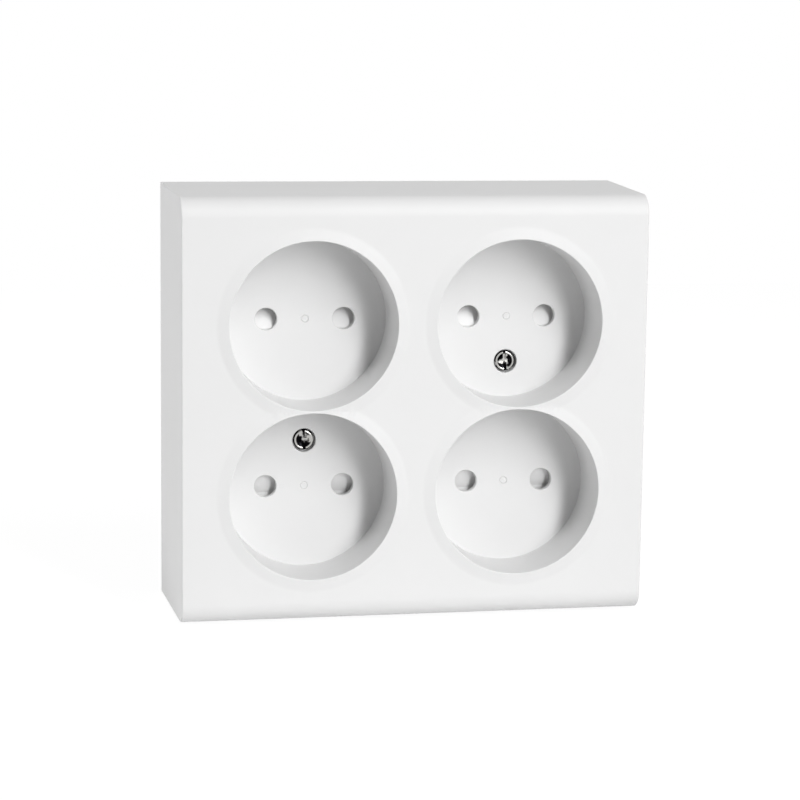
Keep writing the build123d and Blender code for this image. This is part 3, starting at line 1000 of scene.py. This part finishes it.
@dataclass
class CoverScrew:
    """The screws of the cover, in millimetres and degrees, with a combined slot and cross."""

    under: float
    head_radius: float = 2.52
    head_height: float = 1.3
    rim_width: float = 0.6
    rim_slope: float = 0.34
    rim_drop: float = 0.3
    rim_knee: Point = (0.1, 0.12)
    lip_width: float = 0.06
    lip_drop: float = 0.02
    dish: float = 0.1
    dish_slope: float = 0.12
    radius: float = 1.5
    length: float = 16.0
    pitch: float = 0.5
    thread_depth: float = 0.28
    ridge_foot_share: float = 0.45
    ridge_crest_share: float = 0.06
    ridge_sink: float = 0.05
    tip_radius_share: float = 0.4
    tip_length_share: float = 0.6
    slot_width: float = 0.75
    slot_depth: float = 0.7
    cross_width: float = 0.85
    cross_length: float = 3.2
    cross_depth: float = 1.0
    cross_end_share: float = 0.7
    turn: float = -4.0
    steps: int = 96
    thread_steps: int = 24
    smooth_angle: float = 40.0

    @property
    def top(self) -> float:
        """Level of the top of the head."""
        return self.under - self.head_height

    def head(self) -> bpy.types.Object:
        """Head and shank, turned in one.

        Returns:
            The turned solid.
        """
        rim, wide, top = self.rim_width, self.head_radius, self.top
        inner = wide - rim
        outline = [(0, top + self.dish), (inner - self.dish_slope, top + self.dish)]
        outline += [(inner, top + self.lip_drop), (inner + self.lip_width, top)]
        outline += [(wide - self.rim_slope, top), (wide - self.rim_knee[0], top + self.rim_knee[1])]
        outline += [(wide, top + self.rim_drop), (wide, self.under)]
        core = self.radius - self.thread_depth
        end = self.under + self.length
        outline += [(core, self.under), (core, end - core * self.tip_length_share)]
        outline += [(core * self.tip_radius_share, end), (0, end)]
        return Bench.turned("cover_screw", outline, self.steps)

    def drive(self) -> list[bpy.types.Object]:
        """Cutters of the slot and of the cross, whose arms narrow as they go in.

        Returns:
            The cutters.
        """
        top, wide = self.top, self.head_radius + OVERRUN
        half, arm, thick = self.slot_width / 2, self.cross_length / 2, self.cross_width / 2
        front, deep = top - OVERRUN, top + self.cross_depth
        tools = [Bench.block("slot", (-half, front, -wide), (half, top + self.slot_depth, wide))]
        for reach_x, reach_z in ((arm, thick), (thick, arm)):
            bar = Bench.block("cross", (-reach_x, front, -reach_z), (reach_x, deep, reach_z))
            Bench.select_edges(bar, lambda a, b: min(a.y, b.y) > top)
            narrow = (self.cross_end_share, 1, self.cross_end_share)
            bpy.ops.transform.resize(value=narrow, center_override=(0, deep * MM, 0))
            bpy.ops.object.mode_set(mode="OBJECT")
            tools.append(bar)
        return tools

    def thread(self) -> bpy.types.Object:
        """Ridge that winds round the shank.

        Returns:
            A closed mesh.
        """
        core = self.radius - self.thread_depth - self.ridge_sink
        start = self.under + self.pitch
        turns = int((self.length - 3 * self.pitch) / self.pitch)
        foot, crest = self.ridge_foot_share, self.ridge_crest_share
        section = [(core, -foot), (self.radius, -crest), (self.radius, crest), (core, foot)]
        section.append(section[0])
        ridge = Bench.line("thread", [(r, start + rise * self.pitch) for r, rise in section])
        bpy.ops.mesh.remove_doubles(threshold=MERGE_GAP)
        bpy.ops.object.mode_set(mode="OBJECT")
        step = ridge.modifiers.new("wind", "SCREW")
        step.axis = "Y"
        step.screw_offset = self.pitch * MM
        step.iterations = turns
        step.steps = step.render_steps = self.thread_steps
        bpy.ops.object.modifier_apply(modifier=step.name)
        bpy.ops.object.mode_set(mode="EDIT")
        bpy.ops.mesh.select_all(action="SELECT")
        bpy.ops.mesh.fill_holes(sides=8)
        bpy.ops.mesh.normals_make_consistent(inside=False)
        bpy.ops.object.mode_set(mode="OBJECT")
        return ridge

    def build(self) -> None:
        """Make one screw, and put a copy of it at each place."""
        screw = self.head()
        for tool in self.drive():
            Bench.change(screw, tool, Cut.AWAY)
        screw = Bench.join([screw, self.thread()])
        screw.rotation_euler = (0, math.radians(self.turn), 0)
        Bench.apply_place(screw)
        Bench.smooth(screw, self.smooth_angle, weighted=False)
        for word, place in GRID.screws().items():
            node = f"cover_screw_{word}"
            twin = Bench.copy_to(screw, place)
            twin.name = f"{node}_turned"
            settle(twin, HOUSING, "screw_nickel", node)
            # The whole screw gets the finish with painted shade in its head and a darkened tone as
            # painted dark reflection.
            SCREW_HEAD_PAINTED_SHADE.dress(twin)
        bpy.data.objects.remove(screw)


@dataclass
class ShutterSpring:
    """The compression springs of round wire, in millimetres, and degrees for the shading."""

    level: float
    radius: float = 1.15
    wire: float = 0.4
    turns: float = 5.0
    dead_turns: float = 1.0
    seat: float = 8.0
    bar: float = 2.2
    gap: float = 0.05
    travel: float = 6.3
    steps: int = 20
    smooth_angle: float = 60.0

    def rises(self) -> list[Point]:
        """Angle and height of the wire along its length, with close turns at both ends.

        Returns:
            Turns from the seat and height from the pin line.
        """
        low = self.gap - self.seat + self.wire / 2
        high = self.bar - self.gap - self.wire / 2
        close = self.wire * self.dead_turns
        total = self.turns + 2 * self.dead_turns
        points = []
        for index in range(int(total * self.steps) + 1):
            turn = index / self.steps
            if turn < self.dead_turns:
                rise = low + close * turn / self.dead_turns
            elif turn > total - self.dead_turns:
                rise = high - close * (total - turn) / self.dead_turns
            else:
                rise = low + close + (high - low - 2 * close) * (turn - self.dead_turns) / self.turns
            points.append((turn, rise))
        return points

    def coil(self) -> bpy.types.Object:
        """One spring at the middle, for the top row.

        Returns:
            The coil, as a mesh.
        """
        line = bpy.data.curves.new("spring_wire", "CURVE")
        line.dimensions = "3D"
        line.bevel_depth = self.wire / 2 * MM
        line.bevel_resolution = 3
        line.use_fill_caps = True
        spline = line.splines.new("POLY")
        points = self.rises()
        spline.points.add(len(points) - 1)
        for point, (turn, rise) in zip(spline.points, points):
            angle = turn * math.tau
            across = self.radius * math.cos(angle)
            level = self.level + self.radius * math.sin(angle)
            point.co = (across * MM, level * MM, rise * MM, 1)
        curve = bpy.data.objects.new("spring_wire", line)
        bpy.context.scene.collection.objects.link(curve)
        Bench.take(curve)
        bpy.ops.object.convert(target="MESH")
        coil = bpy.context.object
        Bench.smooth(coil, self.smooth_angle, weighted=False)
        return coil

    def build(self) -> None:
        """Make one spring at one length, and put one behind each well; the real spring shortens as its
        shutter moves.
        """
        coil = self.coil()
        for row in Row:
            for column in Column:
                well = f"{row.word}_{column.word}"
                x, z = GRID.centre(row, column)
                spring = Bench.copy_to(coil, (x, z), row is Row.BOTTOM)
                spring.name = f"shutter_spring_{well}_coil"
                settle(spring, HOUSING, "spring_steel", f"shutter_spring_{well}")
                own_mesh(spring)
        bpy.data.objects.remove(coil)


@dataclass(frozen=True)
class Lamp:
    """A soft rectangular lamp that faces the middle of the object.

    Attributes:
        name: the lamp's name.
        away: metres from the middle.
        azimuth: degrees to the right of the front.
        height: degrees above the horizon.
        size: metres across and up.
        power: watts.
    """

    name: str
    away: float
    azimuth: float
    height: float
    size: Point
    power: float

    def place(self) -> None:
        """Put the lamp in the scene."""
        centre = (Vector(CAD_BOX[0]) + Vector(CAD_BOX[1])) / 2
        a, e = math.radians(self.azimuth), math.radians(self.height)
        back = Vector((math.sin(a) * math.cos(e), -math.cos(a) * math.cos(e), math.sin(e)))
        light = bpy.data.lights.new(self.name, "AREA")
        light.shape = "RECTANGLE"
        light.size, light.size_y = self.size
        light.energy = self.power
        obj = bpy.data.objects.new(self.name, light)
        obj.location = centre + back * self.away
        obj.rotation_euler = (-back).to_track_quat("-Z", "Y").to_euler()
        bpy.context.scene.collection.objects.link(obj)


LAMPS = (
    Lamp("key", 1.6, 22, 30, (0.24, 1.3), 9.6),
    Lamp("front", 1.6, 19, 17, (0.24, 1.0), 9.8),
    Lamp("high", 1.6, 21, 45, (0.24, 0.6), 5),
    Lamp("side", 1.5, -110, 15, (1.0, 1.0), 9),
    Lamp("left", 1.5, -75, 15, (0.3, 1.0), 3),
    Lamp("top", 1.5, 0, 85, (1.0, 1.0), 4),
)


@dataclass
class Studio:
    """Floor, lights and camera, in metres and degrees, with lens and sensor in millimetres."""

    place: tuple[float, float, float] = (-0.123811, -0.636936, 0.100408)
    turn: tuple[float, float, float] = (80.872, -0.6628, -11.2119)
    lens: float = 116.29
    sensor: float = 36.0
    floor_size: float = 1.3
    floor_gap: float = 0.0002
    floor_glow: float = 1.08
    floor_share: float = 0.88
    floor_tone: float = 0.9
    floor_roughness: float = 0.9
    nearest: float = 0.01
    farthest: float = 50.0

    def camera(self) -> None:
        """Stand the camera where the photograph was taken from."""
        lens = bpy.data.cameras.new("camera")
        lens.lens = self.lens
        lens.sensor_width = self.sensor
        lens.clip_start = self.nearest
        lens.clip_end = self.farthest
        camera = bpy.data.objects.new("camera", lens)
        camera.location = self.place
        camera.rotation_euler = [math.radians(angle) for angle in self.turn]
        bpy.context.scene.collection.objects.link(camera)
        bpy.context.scene.camera = camera

    @staticmethod
    def seen(tree: bpy.types.NodeTree) -> bpy.types.NodeSocket:
        """Light path test for what is looked at, straight or in a gloss or a glass.

        Args:
            tree: the node tree to put it in.

        Returns:
            A socket that is 1 for such rays and 0 for those that light the object.
        """
        path = tree.nodes.new("ShaderNodeLightPath")
        result = path.outputs["Is Camera Ray"]
        for label in ("Is Glossy Ray", "Is Transmission Ray"):
            either = tree.nodes.new("ShaderNodeMath")
            either.operation = "MAXIMUM"
            tree.links.new(result, either.inputs[0])
            tree.links.new(path.outputs[label], either.inputs[1])
            result = either.outputs[0]
        return result

    def world(self) -> None:
        """White surroundings to look at, which give no light of their own."""
        world = bpy.data.worlds.new("studio")
        bpy.context.scene.world = world
        world.use_nodes = True
        nodes, links = world.node_tree.nodes, world.node_tree.links
        dark, white = nodes["Background"], nodes.new("ShaderNodeBackground")
        dark.inputs["Color"].default_value = WHITE
        dark.inputs["Strength"].default_value = 0.0
        white.inputs["Color"].default_value = WHITE
        mix = nodes.new("ShaderNodeMixShader")
        links.new(self.seen(world.node_tree), mix.inputs["Fac"])
        links.new(dark.outputs["Background"], mix.inputs[1])
        links.new(white.outputs["Background"], mix.inputs[2])
        links.new(mix.outputs["Shader"], nodes["World Output"].inputs["Surface"])

    def floor(self) -> None:
        """White floor under the object, which keeps a faint shadow."""
        Bench.clear()
        low = CAD_BOX[0].z - self.floor_gap
        bpy.ops.mesh.primitive_plane_add(size=self.floor_size, location=(0, 0, low))
        plane = bpy.context.object
        plane.name = "studio_floor"
        Bench.apply_place(plane)
        made = bpy.data.materials.new("studio_floor")
        made.use_nodes = True
        nodes, links = made.node_tree.nodes, made.node_tree.links
        matt = nodes["Principled BSDF"]
        matt.inputs["Base Color"].default_value = (self.floor_tone, self.floor_tone, self.floor_tone, 1)
        matt.inputs["Roughness"].default_value = self.floor_roughness
        glow, mix = nodes.new("ShaderNodeEmission"), nodes.new("ShaderNodeMixShader")
        share = nodes.new("ShaderNodeMath")
        share.operation = "MULTIPLY"
        share.inputs[1].default_value = self.floor_share
        glow.inputs["Strength"].default_value = self.floor_glow
        links.new(self.seen(made.node_tree), share.inputs[0])
        links.new(share.outputs[0], mix.inputs["Fac"])
        links.new(matt.outputs["BSDF"], mix.inputs[1])
        links.new(glow.outputs["Emission"], mix.inputs[2])
        links.new(mix.outputs["Shader"], nodes["Material Output"].inputs["Surface"])
        plane.data.materials.append(made)

    def build(self) -> None:
        """Set the camera, the floor and the lights."""
        bpy.context.scene.view_settings.view_transform = "Standard"
        self.camera()
        self.floor()
        self.world()
        for lamp in LAMPS:
            lamp.place()


def dress_nodes() -> None:
    """Give each CAD node the finish of its slot in the record."""
    for part in frame["record"]["subparts"]:
        node = frame["nodes"][part["node"]]
        SLOT_FINISHES[part["material_slot"]].dress(node)


def main() -> None:
    """Build the pieces in order, then the studio."""
    logging.basicConfig(level=logging.INFO, format="%(name)s %(message)s")
    dress_nodes()
    cover = FrontCover()
    cover.build()
    CoverScrew(under=cover.floor + cover.pocket_depth).build()
    ShutterSpring(level=-20.95).build()
    Studio().build()


if __name__ == "__main__":
    main()
